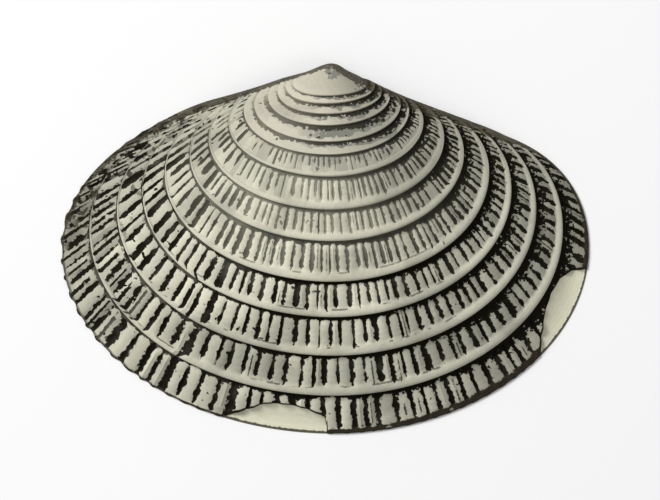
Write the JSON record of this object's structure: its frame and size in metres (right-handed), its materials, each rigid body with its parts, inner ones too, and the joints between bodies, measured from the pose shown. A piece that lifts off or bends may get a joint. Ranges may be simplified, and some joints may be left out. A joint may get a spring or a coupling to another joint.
{
  "type": "clam shell valve",
  "caption": "One valve of a small clam shell, convex side up, with concentric ribs and fine radial riblets outside, a smooth bowl and hinge teeth inside; it rests on its flat margin.",
  "frame": {"origin": "middle of the bounding box, at the level of the flat margin that the valve rests on", "axes": "+X towards the front of the shell, +Y towards the beak, +Z out of the convex face"},
  "size_m": [0.02, 0.014, 0.003],
  "materials": {
    "shell": "satin grey-cream shell with dark deposit in its grooves"
  },
  "bodies": {
    "root": {"valve": "shell"}
  },
  "joints": []
}
